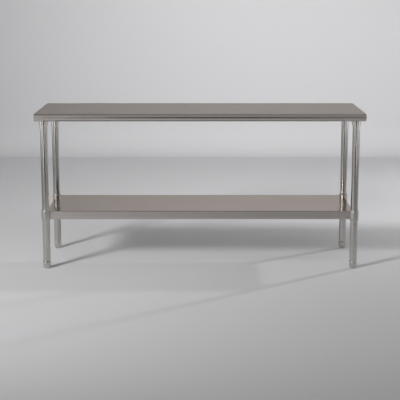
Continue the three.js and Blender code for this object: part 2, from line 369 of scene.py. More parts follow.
def combined(base, *steps):
    """The exact union, difference or intersection of meshes; each step is (operation, bmesh)."""
    scene = bpy.context.scene
    target = bpy.data.objects.new("target", to_mesh(base, "target"))
    scene.collection.objects.link(target)
    tools = []
    for operation, part in steps:
        tool = bpy.data.objects.new("tool", to_mesh(part, "tool"))
        scene.collection.objects.link(tool)
        modifier = target.modifiers.new(operation, "BOOLEAN")
        modifier.operation = operation
        modifier.solver = "EXACT"
        modifier.object = tool
        tools.append(tool)
    evaluated = target.evaluated_get(bpy.context.evaluated_depsgraph_get())
    mesh = bpy.data.meshes.new_from_object(evaluated)
    for item in (target, *tools):
        bpy.data.objects.remove(item)
    bm = bmesh.new()
    bm.from_mesh(mesh)
    bmesh.ops.remove_doubles(bm, verts=bm.verts[:], dist=1e-6)
    return bm


def add_wall(obj, gauge):
    """Gives an outward-facing skin its sheet thickness, inwards, as a modifier."""
    solidify = obj.modifiers.new("Wall", "SOLIDIFY")
    solidify.thickness = gauge
    solidify.offset = -1
    solidify.use_even_offset = True
    solidify.use_quality_normals = True


def walled(bm, gauge):
    """An outward-facing skin with its sheet thickness, inwards, as a mesh."""
    obj = bpy.data.objects.new("skin", to_mesh(bm, "skin"))
    bpy.context.scene.collection.objects.link(obj)
    add_wall(obj, gauge)
    evaluated = obj.evaluated_get(bpy.context.evaluated_depsgraph_get())
    mesh = bpy.data.meshes.new_from_object(evaluated)
    bpy.data.objects.remove(obj)
    thick = bmesh.new()
    thick.from_mesh(mesh)
    return thick


def piece(bm, name, body, material, replaced, crease=35, wall=0.0):
    """Makes a bmesh a finished piece: shading, material, wall, body and the CAD nodes it stands for."""
    shade_smooth(bm)
    mesh = to_mesh(bm, name)
    if not mesh.polygons:
        raise RuntimeError(f"{name} has no faces")
    mesh.set_sharp_from_angle(angle=math.radians(crease))
    mesh.materials.append(material)
    obj = bpy.data.objects.new(name, mesh)
    bpy.context.scene.collection.objects.link(obj)
    if wall:
        add_wall(obj, wall)
    normals = obj.modifiers.new("Flat faces", "WEIGHTED_NORMAL")
    normals.keep_sharp = True
    normals.weight = 50
    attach(obj, body)
    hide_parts(*replaced)
    return obj


# Building blocks for materials.

def shader_node(tree, kind, **inputs):
    """Adds a node and sets its inputs: a socket is linked, and anything else is a plain value."""
    made = tree.nodes.new(kind)
    for name, value in inputs.items():
        feed(tree, made.inputs[name.replace("_", " ")], value)
    return made


def feed(tree, socket, value):
    """Links a socket, or sets a plain value."""
    if isinstance(value, bpy.types.NodeSocket):
        tree.links.new(value, socket)
    else:
        socket.default_value = value


def maths(tree, operation, *values, clamp=False):
    made = tree.nodes.new("ShaderNodeMath")
    made.operation = operation
    made.use_clamp = clamp
    for socket, value in zip(made.inputs, values):
        feed(tree, socket, value)
    return made.outputs[0]


def vector_maths(tree, operation, *values):
    made = tree.nodes.new("ShaderNodeVectorMath")
    made.operation = operation
    for socket, value in zip(made.inputs, values):
        feed(tree, socket, value)
    return made.outputs["Value"] if operation == "DOT_PRODUCT" else made.outputs["Vector"]


def noise(tree, vector, scale, detail=2.0, roughness=0.5, distortion=0.0):
    made = shader_node(tree, "ShaderNodeTexNoise", Vector=vector, Scale=scale, Detail=detail,
                       Roughness=roughness, Distortion=distortion)
    return made.outputs["Fac"]


def spread(tree, value, low, high, to_low=0.0, to_high=1.0):
    """Maps a value from one range to another, smoothly and within bounds."""
    made = tree.nodes.new("ShaderNodeMapRange")
    made.interpolation_type = "SMOOTHSTEP"
    for name, number in (("Value", value), ("From Min", low), ("From Max", high),
                         ("To Min", to_low), ("To Max", to_high)):
        feed(tree, made.inputs[name], number)
    return made.outputs["Result"]


def blended(tree, share, first, second):
    """Mixes two colours."""
    made = tree.nodes.new("ShaderNodeMix")
    made.data_type = "RGBA"
    feed(tree, made.inputs["Factor"], share)
    colours = [s for s in made.inputs if s.type == "RGBA"]
    feed(tree, colours[0], first)
    feed(tree, colours[1], second)
    return next(s for s in made.outputs if s.type == "RGBA")


def new_group(name, inputs, outputs):
    """A node group with its sockets; returns the tree and its group input's sockets."""
    tree = bpy.data.node_groups.new(name, "ShaderNodeTree")
    for label, kind, default in inputs:
        socket = tree.interface.new_socket(name=label, in_out="INPUT", socket_type=kind)
        if default is not None:
            socket.default_value = default
    for label in outputs:
        tree.interface.new_socket(name=label, in_out="OUTPUT", socket_type="NodeSocketFloat")
    entry = tree.nodes.new("NodeGroupInput")
    return tree, entry.outputs


def group_result(tree, **values):
    out = tree.nodes.new("NodeGroupOutput")
    for name, value in values.items():
        feed(tree, out.inputs[name.replace("_", " ")], value)


def placed_group(tree, group, **inputs):
    """Places a node group in a material and sets its inputs."""
    made = tree.nodes.new("ShaderNodeGroup")
    made.node_tree = group
    for name, value in inputs.items():
        feed(tree, made.inputs[name.replace("_", " ")], value)
    return made.outputs


def brushed_grain_group():
    """Long fine scratches from an abrasive belt, and the broader streaks among them."""
    tree, entry = new_group(
        "Brushed grain",
        [("Vector", "NodeSocketVector", None), ("Stretch", "NodeSocketVector", (4, 500, 500))],
        ["Grain", "Streak"])
    run = vector_maths(tree, "MULTIPLY", entry["Vector"], entry["Stretch"])
    fine = noise(tree, run, 1.0, 3.0, 0.65)
    coarse = noise(tree, run, 0.16, 2.0, 0.5)
    group_result(tree, Grain=fine, Streak=coarse)
    return tree


def handling_group():
    """Faint cloth swirls and finger smears, as a mask."""
    tree, entry = new_group(
        "Handling marks",
        [("Vector", "NodeSocketVector", None), ("Scale", "NodeSocketFloat", 5.0)],
        ["Smear", "Swirl"])
    cloud = noise(tree, entry["Vector"], entry["Scale"], 4.0, 0.55, 0.6)
    wiped = maths(tree, "MULTIPLY", entry["Scale"], 2.7)
    arcs = noise(tree, entry["Vector"], wiped, 3.0, 0.6, 3.5)
    group_result(
        tree,
        Smear=spread(tree, cloud, 0.42, 0.72),
        Swirl=spread(tree, arcs, 0.38, 0.66))
    return tree


def edge_polish_group():
    """A mask that is 1 along edges, where handling polishes metal."""
    tree, entry = new_group(
        "Edge polish",
        [("Width", "NodeSocketFloat", 0.004), ("Vector", "NodeSocketVector", None)],
        ["Mask"])
    rounded = shader_node(tree, "ShaderNodeBevel", Radius=entry["Width"])
    rounded.samples = 4
    flat = tree.nodes.new("ShaderNodeNewGeometry")
    same = vector_maths(tree, "DOT_PRODUCT", rounded.outputs["Normal"], flat.outputs["Normal"])
    away = maths(tree, "SUBTRACT", 1.0, same, clamp=True)
    patchy = noise(tree, entry["Vector"], 60.0, 3.0, 0.6)
    bright = spread(tree, away, 0.0, 0.12)
    broken = spread(tree, patchy, 0.25, 0.6, 0.4, 1.0)
    group_result(tree, Mask=maths(tree, "MULTIPLY", bright, broken))
    return tree


def dust_group():
    """Settled dust: a mask on faces that look up, thicker in patches."""
    tree, entry = new_group(
        "Settled dust",
        [("Vector", "NodeSocketVector", None), ("Amount", "NodeSocketFloat", 0.2)],
        ["Mask"])
    surface = tree.nodes.new("ShaderNodeNewGeometry")
    up = vector_maths(tree, "DOT_PRODUCT", surface.outputs["Normal"], (0.0, 0.0, 1.0))
    specks = noise(tree, entry["Vector"], 900.0, 3.0, 0.7)
    patches = noise(tree, entry["Vector"], 12.0, 3.0, 0.5)
    cover = maths(tree, "MULTIPLY", spread(tree, specks, 0.45, 0.7), spread(tree, patches, 0.3, 0.75))
    lying = maths(tree, "MULTIPLY", cover, spread(tree, up, 0.55, 0.95))
    group_result(tree, Mask=maths(tree, "MULTIPLY", lying, entry["Amount"]))
    return tree


GROUPS = {}


def group(name):
    """A shared node group, built the first time it is asked for."""
    makers = {
        "grain": brushed_grain_group,
        "handling": handling_group,
        "edge": edge_polish_group,
        "dust": dust_group,
    }
    if name not in GROUPS:
        GROUPS[name] = makers[name]()
    return GROUPS[name]


def new_material(name):
    """A node material, its tree, its surface shader and its object coordinates."""
    material = bpy.data.materials.new(name)
    material.use_nodes = True
    tree = material.node_tree
    tree.nodes.clear()
    out = tree.nodes.new("ShaderNodeOutputMaterial")
    surface = tree.nodes.new("ShaderNodeBsdfPrincipled")
    tree.links.new(surface.outputs["BSDF"], out.inputs["Surface"])
    place = tree.nodes.new("ShaderNodeTexCoord").outputs["Object"]
    return material, tree, surface, place


def bump(tree, surface, height, strength, distance):
    made = shader_node(tree, "ShaderNodeBump", Strength=strength, Distance=distance, Height=height)
    tree.links.new(made.outputs["Normal"], surface.inputs["Normal"])


def opaque(colour, share=1.0):
    return (*[min(c * share, 1.0) for c in colour], 1.0)


def brushed_steel(name, colour, stretch, roughness, relief, smear_scale=5.0, dust=0.05, sheen=0.0):
    """Satin stainless steel with its grain along one axis, faint smears and polished edges.

    sheen is the brightness at a glancing angle as a share of the colour; 0 leaves the metal's own.
    """
    material, tree, surface, place = new_material(name)
    grain = placed_group(tree, group("grain"), Vector=place, Stretch=stretch)
    marks = placed_group(tree, group("handling"), Vector=place, Scale=smear_scale)
    edge = placed_group(tree, group("edge"), Vector=place)["Mask"]
    lying = placed_group(tree, group("dust"), Vector=place, Amount=dust)["Mask"]
    surface.inputs["Metallic"].default_value = 1.0
    surface.inputs["Specular Tint"].default_value = opaque(colour, sheen) if sheen else (1, 1, 1, 1)
    tone = blended(tree, spread(tree, grain["Streak"], 0.3, 0.7), opaque(colour, 0.97), opaque(colour, 1.03))
    worn = blended(tree, maths(tree, "MULTIPLY", edge, 0.5), tone, opaque(colour, 1.12))
    dusty = blended(tree, lying, worn, (0.55, 0.53, 0.50, 1.0))
    tree.links.new(dusty, surface.inputs["Base Color"])
    base = maths(tree, "MULTIPLY_ADD", spread(tree, grain["Grain"], 0.25, 0.75), 0.07, roughness - 0.035)
    smeared = maths(tree, "MULTIPLY_ADD", marks["Smear"], 0.02, base)
    wiped = maths(tree, "MULTIPLY_ADD", marks["Swirl"], 0.012, smeared)
    polished = maths(tree, "MULTIPLY_ADD", edge, -0.06, wiped)
    rough = maths(tree, "MULTIPLY_ADD", lying, 0.4, polished, clamp=True)
    tree.links.new(rough, surface.inputs["Roughness"])
    bump(tree, surface, grain["Grain"], relief, 0.00012)
    return material


def cast_metal(name, colour, roughness):
    """Tumbled die-cast aluminium: fine pitted skin with patchy tone, and brighter, smoother edges."""
    material, tree, surface, place = new_material(name)
    edge = placed_group(tree, group("edge"), Vector=place)["Mask"]
    lying = placed_group(tree, group("dust"), Vector=place, Amount=0.3)["Mask"]
    marks = placed_group(tree, group("handling"), Vector=place, Scale=22.0)
    skin = noise(tree, place, 1400.0, 3.0, 0.6)
    pool = noise(tree, place, 90.0, 3.0, 0.5)
    surface.inputs["Metallic"].default_value = 1.0
    tone = blended(tree, spread(tree, pool, 0.3, 0.7), opaque(colour, 0.94), opaque(colour, 1.03))
    worn = blended(tree, maths(tree, "MULTIPLY", edge, 0.7), tone, opaque(colour, 1.2))
    tree.links.new(blended(tree, lying, worn, (0.5, 0.48, 0.45, 1.0)), surface.inputs["Base Color"])
    base = maths(tree, "MULTIPLY_ADD", spread(tree, skin, 0.3, 0.7), 0.1, roughness - 0.05)
    rough = maths(tree, "MULTIPLY_ADD", marks["Smear"], 0.06, base)
    tree.links.new(maths(tree, "MULTIPLY_ADD", edge, -0.1, rough), surface.inputs["Roughness"])
    bump(tree, surface, maths(tree, "ADD", skin, maths(tree, "MULTIPLY", pool, 0.8)), 0.22, 0.0002)
    return material


def plated_metal(name, colour):
    """Zinc plating: bluish, with soft crystalline patches."""
    material, tree, surface, place = new_material(name)
    edge = placed_group(tree, group("edge"), Vector=place, Width=0.001)["Mask"]
    patches = noise(tree, place, 420.0, 3.0, 0.55)
    fine = noise(tree, place, 2600.0, 2.0, 0.5)
    surface.inputs["Metallic"].default_value = 1.0
    tone = blended(tree, spread(tree, patches, 0.3, 0.7), opaque(colour, 0.88), opaque(colour, 1.06))
    tree.links.new(blended(tree, edge, tone, opaque(colour, 1.25)), surface.inputs["Base Color"])
    rough = maths(tree, "MULTIPLY_ADD", spread(tree, patches, 0.3, 0.7), 0.12, 0.3)
    tree.links.new(rough, surface.inputs["Roughness"])
    bump(tree, surface, fine, 0.1, 0.0001)
    return material


def oxide_metal(name, colour, bare):
    """Black oxide with bare steel showing at the worn edges."""
    material, tree, surface, place = new_material(name)
    edge = placed_group(tree, group("edge"), Vector=place, Width=0.0008)["Mask"]
    mottle = noise(tree, place, 700.0, 3.0, 0.6)
    surface.inputs["Metallic"].default_value = 0.9
    tone = blended(tree, spread(tree, mottle, 0.35, 0.7), opaque(colour), opaque(colour, 1.7))
    tree.links.new(blended(tree, edge, tone, opaque(bare, 0.7)), surface.inputs["Base Color"])
    tree.links.new(spread(tree, mottle, 0.2, 0.8, 0.38, 0.52), surface.inputs["Roughness"])
    bump(tree, surface, mottle, 0.12, 0.0001)
    return material


def butyl_tape(name, colour):
    """Matte sound-deadening tape with a pebbled skin."""
    material, tree, surface, place = new_material(name)
    pebble = noise(tree, place, 1100.0, 2.0, 0.6)
    chalk = noise(tree, place, 30.0, 4.0, 0.6)
    tone = blended(tree, spread(tree, chalk, 0.35, 0.75), opaque(colour), opaque(colour, 2.2))
    tree.links.new(tone, surface.inputs["Base Color"])
    tree.links.new(spread(tree, pebble, 0.2, 0.8, 0.72, 0.9), surface.inputs["Roughness"])
    bump(tree, surface, pebble, 0.35, 0.0003)
    return material


def backdrop_paper(name, colour):
    """Plain matte paper with a trace of unevenness, which the camera sees through from behind."""
    material, tree, surface, place = new_material(name)
    cloud = noise(tree, place, 0.35, 2.0, 0.5)
    tone = blended(tree, cloud, opaque(colour, 0.985), opaque(colour, 1.015))
    tree.links.new(tone, surface.inputs["Base Color"])
    surface.inputs["Roughness"].default_value = 0.85
    surface.inputs["Specular IOR Level"].default_value = 0.2
    side = tree.nodes.new("ShaderNodeNewGeometry").outputs["Backfacing"]
    seen = tree.nodes.new("ShaderNodeLightPath").outputs["Is Camera Ray"]
    mixed = shader_node(tree, "ShaderNodeMixShader", Fac=maths(tree, "MULTIPLY", side, seen))
    tree.links.new(surface.outputs["BSDF"], mixed.inputs[1])
    tree.links.new(tree.nodes.new("ShaderNodeBsdfTransparent").outputs["BSDF"], mixed.inputs[2])
    out = next(made for made in tree.nodes if made.type == "OUTPUT_MATERIAL")
    tree.links.new(mixed.outputs["Shader"], out.inputs["Surface"])
    return material


MATERIALS = {}


def finish(name):
    """A finish of the table by name, built the first time it is asked for."""
    colours = bpy.context.scene.work_table_finish
    makers = {
        "worktop_satin": lambda: brushed_steel(
            "Worktop satin steel", colours.sheet_colour, (3.0, 700.0, 700.0),
            roughness=0.22, relief=0.04, sheen=0.95),
        "shelf_satin": lambda: brushed_steel(
            "Undershelf satin steel", colours.sheet_colour, (3.0, 700.0, 700.0),
            roughness=0.17, relief=0.04, sheen=1.1),
        "tube_polish": lambda: brushed_steel(
            "Polished leg tube", colours.tube_colour, (120.0, 120.0, 1500.0),
            roughness=0.16, relief=0.05, smear_scale=9.0, dust=0.0),
        "turned_polish": lambda: brushed_steel(
            "Turned socket and foot steel", colours.tube_colour, (90.0, 90.0, 2200.0),
            roughness=0.22, relief=0.1, smear_scale=16.0, dust=0.12),
        "casting": lambda: cast_metal("Cast aluminium clamp", colours.casting_colour, roughness=0.3),
        "mill_finish": lambda: brushed_steel(
            "Mill-finish channel", colours.channel_colour, (12.0, 260.0, 260.0),
            roughness=0.36, relief=0.06, smear_scale=8.0, dust=0.0),
        "mill_finish_cross": lambda: brushed_steel(
            "Mill-finish cross channel", colours.channel_colour, (260.0, 12.0, 260.0),
            roughness=0.36, relief=0.06, smear_scale=8.0, dust=0.0),
        "zinc": lambda: plated_metal("Zinc-plated fastener", colours.plating_colour),
        "oxide": lambda: oxide_metal("Black-oxide set screw", colours.oxide_colour, colours.plating_colour),
        "tape": lambda: butyl_tape("Sound-deadening tape", colours.tape_colour),
        "backdrop": lambda: backdrop_paper("Seamless backdrop", colours.floor_colour),
        # The dark screen's material also paints the shade strip on the floor under the camera.
        "screen": lambda: backdrop_paper("Dark screen and painted floor shade", colours.screen_colour),
    }
    if name not in MATERIALS:
        MATERIALS[name] = makers[name]()
    return MATERIALS[name]


# Shapes of the pieces.

def folded_tray(low, high, end_bend, lip, side_roll, roll_segments):
    """The outer skin of a sheet tray that is open underneath; side_roll rounds its front and rear."""
    bm = bmesh.new()
    outline = [(low.y, low.z), (high.y, low.z), (high.y, high.z), (low.y, high.z)]
    profile_wire(bm, [((low.x, y, z), side_roll) for y, z in outline], roll_segments, closed=True)
    end = bmesh.ops.contextual_create(bm, geom=bm.edges[:])["faces"]
    run = bmesh.ops.extrude_face_region(bm, geom=end, use_keep_orig=True)["geom"]
    moved = [item for item in run if isinstance(item, bmesh.types.BMVert)]
    bmesh.ops.translate(bm, vec=(high.x - low.x, 0, 0), verts=moved)
    cleaned(bm)
    rims = [e for e in bm.edges if e.calc_face_angle(0) > math.radians(60)]
    bevel_edges(bm, rims, end_bend, 5)
    under = max((f for f in bm.faces if f.normal.z < -0.999), key=lambda f: f.calc_area())
    bmesh.ops.inset_region(bm, faces=[under], thickness=lip, depth=0, use_even_offset=True)
    bmesh.ops.delete(bm, geom=[under], context="FACES")
    return cleaned(bm)


def hat_sheet(low, high, along, crown, bend):
    """The upper skin of a hat channel with its flanges up, along 'x' or 'y'."""
    half = (high.y - low.y) / 2 if along == "x" else (high.x - low.x) / 2
    length = high.x - low.x if along == "x" else high.y - low.y
    centre = (low + high) / 2
    run = [
        (-half, high.z, 0), (-crown / 2, high.z, bend), (-crown / 2, low.z, bend),
        (crown / 2, low.z, bend), (crown / 2, high.z, bend), (half, high.z, 0),
    ]
    bm = bmesh.new()
    profile_wire(bm, [((-length / 2, y, z), setback) for y, z, setback in run], 4)
    swept_along_x(bm, length)
    if sum(f.normal.z * f.calc_area() for f in bm.faces) < 0:
        bmesh.ops.reverse_faces(bm, faces=bm.faces[:])
    turn = 0 if along == "x" else math.pi / 2
    place = Matrix.Translation((centre.x, centre.y, 0)) @ Matrix.Rotation(turn, 4, "Z")
    return placed(bm, place)


def lying_cylinder(radius, start, end, height, sides):
    """A cylinder along +X at a height."""
    bm = turned([(0, start, 0), (radius, start, 0), (radius, end, 0), (0, end, 0)], sides)
    return placed(bm, Matrix.Translation((0, 0, height)) @ Matrix.Rotation(math.pi / 2, 4, "Y"))


def ring_bead(radius, height, bead, sides):
    """A weld bead round the Z axis."""
    bm = bmesh.new()
    bmesh.ops.create_circle(bm, cap_ends=False, segments=12, radius=bead)
    turn = Matrix.Translation((radius, 0, height)) @ Matrix.Rotation(math.pi / 2, 4, "X")
    bmesh.ops.transform(bm, matrix=turn, verts=bm.verts[:])
    return full_turn(bm, sides)


def stitch_bead(start, end, bead):
    """A short weld bead between two points."""
    bm = bmesh.new()
    bmesh.ops.create_uvsphere(bm, u_segments=24, v_segments=12, radius=1)
    run = end - start
    turn = run.to_track_quat("X", "Z").to_matrix().to_4x4()
    stretch = Matrix.Diagonal((run.length / 2, bead, bead, 1))
    return placed(bm, Matrix.Translation((start + end) / 2) @ turn @ stretch)


def leg_socket_body(size, leg_radius, rounds):
    """A socket about the Z axis: a barrel under a plate, bored for the leg and tapped towards +X."""
    barrel_radius, bottom, plate_bottom, top, plate_x, plate_y, screw_height = size
    bore_radius = leg_radius + rounds.clearance
    barrel = turned([
        (0, bottom, 0),
        (barrel_radius, bottom, 0.0012),
        (barrel_radius, plate_bottom + 0.001, 0),
        (0, plate_bottom + 0.001, 0),
    ], rounds.sides)
    plate = rounded_block(
        (-plate_y / 2, -plate_x / 2, plate_bottom), (plate_y / 2, plate_x / 2, top), 0.0006, 2, 0.006)
    bore = turned([
        (0, bottom - 0.002, 0),
        (bore_radius + 0.0008, bottom - 0.002, 0),
        (bore_radius + 0.0008, bottom + 0.0004, 0),
        (bore_radius, bottom + 0.0012, 0),
        (bore_radius, plate_bottom, 0),
        (0, plate_bottom, 0),
    ], rounds.sides)
    tapping = lying_cylinder(TAPPING_RADIUS, 0, barrel_radius + 0.005, screw_height, rounds.small_sides)
    body = combined(barrel, ("UNION", plate), ("DIFFERENCE", bore), ("DIFFERENCE", tapping))
    bead = ring_bead(barrel_radius + 0.0002, plate_bottom, 0.0022, rounds.sides)
    return merged(body, bead)


def set_screw(start, end, rounds):
    """A hexagon-socket set screw along +X with its socket at the end."""
    screw = threaded(SCREW_RADIUS, SCREW_PITCH, start, end, rounds.small_sides)
    hexagon = turned([
        (0, end - HEXAGON_DEPTH, 0), (HEXAGON_RADIUS, end - HEXAGON_DEPTH, 0),
        (HEXAGON_RADIUS, end + 0.001, 0), (0, end + 0.001, 0),
    ], 6)
    return placed(combined(screw, ("DIFFERENCE", hexagon)), Matrix.Rotation(math.pi / 2, 4, "Y"))


def clamp_body(low, high, leg_radius, shelf, rounds):
    """A corner clamp about the Z axis: collar, wings along +X and +Y, and a tapped boss between."""
    collar_radius, taper_top, toe_radius, reach = 0.0252, 0.293, 0.0219, 0.07
    boss_radius, boss_height, boss_reach = 0.007, 0.3, 0.034
    wing_edge, bore_edge = 0.0008, 0.0008
    bore_radius = leg_radius + rounds.clearance
    collar = turned([
        (0, low, 0),
        (toe_radius, low, 0.0005),
        (collar_radius, taper_top, 0.006),
        (collar_radius, high, 0.0028),
        (0, high, 0),
    ], rounds.sides, 6)
    near, far, wing_low, wing_high = shelf
    wing_x = rounded_block((0.01, near, wing_low), (reach, far, wing_high), wing_edge, 2)
    wing_y = rounded_block((near, 0.01, wing_low), (far, reach, wing_high), wing_edge, 2)
    diagonal = Matrix.Rotation(math.pi / 4, 4, "Z")
    lying = Matrix.Translation((0, 0, boss_height)) @ Matrix.Rotation(math.pi / 2, 4, "Y")
    boss = placed(turned([
        (0, 0.005, 0), (boss_radius, 0.005, 0), (boss_radius, boss_reach, 0.001), (0, boss_reach, 0),
    ], rounds.small_sides), diagonal @ lying)
    bore = turned([
        (0, low - 0.002, 0),
        (bore_radius, low - 0.002, 0),
        (bore_radius, high - bore_edge, 0),
        (bore_radius + bore_edge, high, 0),
        (bore_radius + bore_edge, high + 0.002, 0),
        (0, high + 0.002, 0),
    ], rounds.sides)
    tapping = lying_cylinder(TAPPING_RADIUS, 0, boss_reach + 0.006, boss_height, rounds.small_sides)
    placed(tapping, diagonal)
    return combined(collar, ("UNION", wing_x), ("UNION", wing_y), ("UNION", boss),
                    ("DIFFERENCE", bore), ("DIFFERENCE", tapping))


def bullet_body(low, high, radius, rounds):
    """A bullet foot about the Z axis: a flat toe, swelling sides, a straight collar and a neck hole."""
    toe, collar_low, depth = 0.015, 0.0315, 0.012
    neck = NECK_RADIUS + rounds.clearance
    steps = 14
    sides = []
    for i in range(steps + 1):
        angle = i / steps * math.pi / 2
        sides.append((toe + (radius - toe) * math.sin(angle),
                      low + 0.001 + (collar_low - 0.001) * (1 - math.cos(angle)), 0))
    return turned([
        (0, low, 0),
        (toe - 0.001, low, 0.0004),
        *sides,
        (radius, high, 0.005),
        (neck, high, 0.0005),
        (neck, high - depth, 0),
        (0, high - depth, 0),
    ], rounds.sides, 8)


def hexagon_nut(centre, across, height, bore_radius, rounds):
    """A hexagon nut with chamfered corners."""
    corner = across / math.sqrt(3)
    prism = turned([(0, 0, 0), (corner, 0, 0), (corner, height, 0), (0, height, 0)], 6)
    drop = (corner - across / 2) * 0.6
    barrel = turned([
        (0, -0.0001, 0), (across / 2 - 0.0001, -0.0001, 0), (corner + 0.0001, drop, 0),
        (corner + 0.0001, height - drop, 0), (across / 2 - 0.0001, height + 0.0001, 0),
        (0, height + 0.0001, 0),
    ], rounds.small_sides)
    hole = turned([
        (0, -0.001, 0), (bore_radius + 0.0006, -0.001, 0), (bore_radius + 0.0005, 0, 0),
        (bore_radius, 0.0006, 0), (bore_radius, height - 0.0006, 0), (bore_radius + 0.0005, height, 0),
        (bore_radius + 0.0006, height + 0.001, 0), (0, height + 0.001, 0),
    ], rounds.small_sides)
    nut = combined(prism, ("INTERSECT", barrel), ("DIFFERENCE", hole))
    return placed(nut, Matrix.Translation(centre - Vector((0, 0, height / 2))))


# Operators: one for each piece or group of like pieces, and one for the stage.

class WORKTABLE_OT_worktop(Operator):
    """Fold the worktop's sheet with its rolled front and rear edges"""
    bl_idname = "work_table.worktop"
    bl_label = "Worktop"

    def execute(self, context):
        sheet = context.scene.work_table_sheet
        low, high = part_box("worktop")
        roll = (high.z - low.z) / 2 * 0.9998
        shell = folded_tray(
            low, high, sheet.top_end_bend, sheet.roll_lip, roll, sheet.roll_segments // 2)
        piece(shell, "worktop_sheet", "frame", finish("worktop_satin"),
              ["worktop"], wall=sheet.top_gauge)
        return {"FINISHED"}


class WORKTABLE_OT_channels(Operator):
    """Fold the hat channels under the worktop and under the shelf"""
    bl_idname = "work_table.channels"
    bl_label = "Channels"

    def execute(self, context):
        sheet = context.scene.work_table_sheet
        for node, body, along, metal in (
                ("centre_channel", "frame", "x", "mill_finish"),
                ("left_cross_channel", "frame", "y", "mill_finish_cross"),
                ("right_cross_channel", "frame", "y", "mill_finish_cross"),
                ("shelf_channel", "undershelf", "x", "mill_finish")):
            low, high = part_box(node)
            skin = hat_sheet(low, high, along, sheet.channel_crown, sheet.channel_bend)
            piece(skin, f"{node}_sheet", body, finish(metal), [node],
                  wall=sheet.channel_gauge)
        return {"FINISHED"}


class WORKTABLE_OT_tapes(Operator):
    """Give the sound-deadening tapes their finish"""
    bl_idname = "work_table.tapes"
    bl_label = "Sound-deadening tapes"

    def execute(self, context):
        for node in ("centre_tape", "left_tape", "right_tape"):
            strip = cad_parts[node]
            strip.data.materials.clear()
            strip.data.materials.append(finish("tape"))
        return {"FINISHED"}


class WORKTABLE_OT_fasteners(Operator):
    """Make the weld studs and their nuts"""
    bl_idname = "work_table.fasteners"
    bl_label = "Studs and nuts"

    def execute(self, context):
        rounds = context.scene.work_table_rounds
        for i in STUDS:
            low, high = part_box(f"weld_stud_{i}")
            centre = middle(f"weld_stud_{i}")
            radius = radius_of(f"weld_stud_{i}")
            stud = threaded(radius, rounds.stud_pitch, low.z, high.z, rounds.small_sides)
            placed(stud, Matrix.Translation((centre.x, centre.y, 0)))
            piece(stud, f"threaded_stud_{i}", "frame", finish("zinc"),
                  [f"weld_stud_{i}"])
            low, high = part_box(f"stud_nut_{i}")
            across = high.x - low.x
            nut = hexagon_nut((low + high) / 2, across, high.z - low.z, radius + rounds.clearance, rounds)
            piece(nut, f"hexagon_nut_{i}", "frame", finish("zinc"), [f"stud_nut_{i}"])
        return {"FINISHED"}


class WORKTABLE_OT_legs(Operator):
    """Make the legs' tubes"""
    bl_idname = "work_table.legs"
    bl_label = "Legs"

    def execute(self, context):
        rounds = context.scene.work_table_rounds
        for corner in CORNERS:
            low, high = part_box(f"leg_{corner}")
            outer = radius_of(f"leg_{corner}")
            inner = outer - rounds.leg_wall
            brim = rounds.leg_wall / 3
            tube = turned([
                (inner, low.z, brim), (outer, low.z, brim), (outer, high.z, brim), (inner, high.z, brim),
            ], rounds.sides, 3, closed=True)
            placed(tube, Matrix.Translation(leg_axis(corner)))
            piece(tube, f"leg_tube_{corner}", "frame", finish("tube_polish"), [f"leg_{corner}"])
        return {"FINISHED"}


class WORKTABLE_OT_sockets(Operator):
    """Make the leg sockets with their welds and set screws"""
    bl_idname = "work_table.sockets"
    bl_label = "Leg sockets"

    def execute(self, context):
        rounds = context.scene.work_table_rounds
        for corner in CORNERS:
            axis = leg_axis(corner)
            low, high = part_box(f"leg_socket_{corner}")
            leg_radius = radius_of(f"leg_{corner}")
            screw_low, screw_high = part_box(f"socket_screw_{corner}")
            screw_height = (screw_low.z + screw_high.z) / 2
            plate_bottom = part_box(f"leg_{corner}")[1].z + rounds.clearance
            screw_end = max(abs(screw_low.y - axis.y), abs(screw_high.y - axis.y))
            barrel_radius = screw_end - SCREW_STANDS_OUT
            size = (barrel_radius, low.z, plate_bottom, high.z, high.x - low.x, high.y - low.y, screw_height)
            turn = Matrix.Rotation(-math.copysign(math.pi / 2, axis.y), 4, "Z")
            place = Matrix.Translation(axis) @ turn
            body = placed(leg_socket_body(size, leg_radius, rounds), place)
            welds = []
            half_x, half_y = (high.x - low.x) / 2, (high.y - low.y) / 2
            stitch = Vector((0, 0.016, 0))
            bead = 0.0016
            for side in (-1, 1):
                for along in (-0.5, 0.5):
                    weld = Vector((axis.x + side * half_x, axis.y + along * half_y, high.z - 0.0006))
                    welds.append(stitch_bead(weld - stitch / 2, weld + stitch / 2, bead))
            piece(merged(body, *welds), f"socket_{corner}", "frame",
                  finish("turned_polish"), [f"leg_socket_{corner}"])
            screw = set_screw(leg_radius + rounds.clearance, barrel_radius + SCREW_STANDS_OUT, rounds)
            placed(screw, place @ Matrix.Translation((0, 0, screw_height)))
            piece(screw, f"socket_set_screw_{corner}", "frame", finish("oxide"),
                  [f"socket_screw_{corner}"])
        return {"FINISHED"}


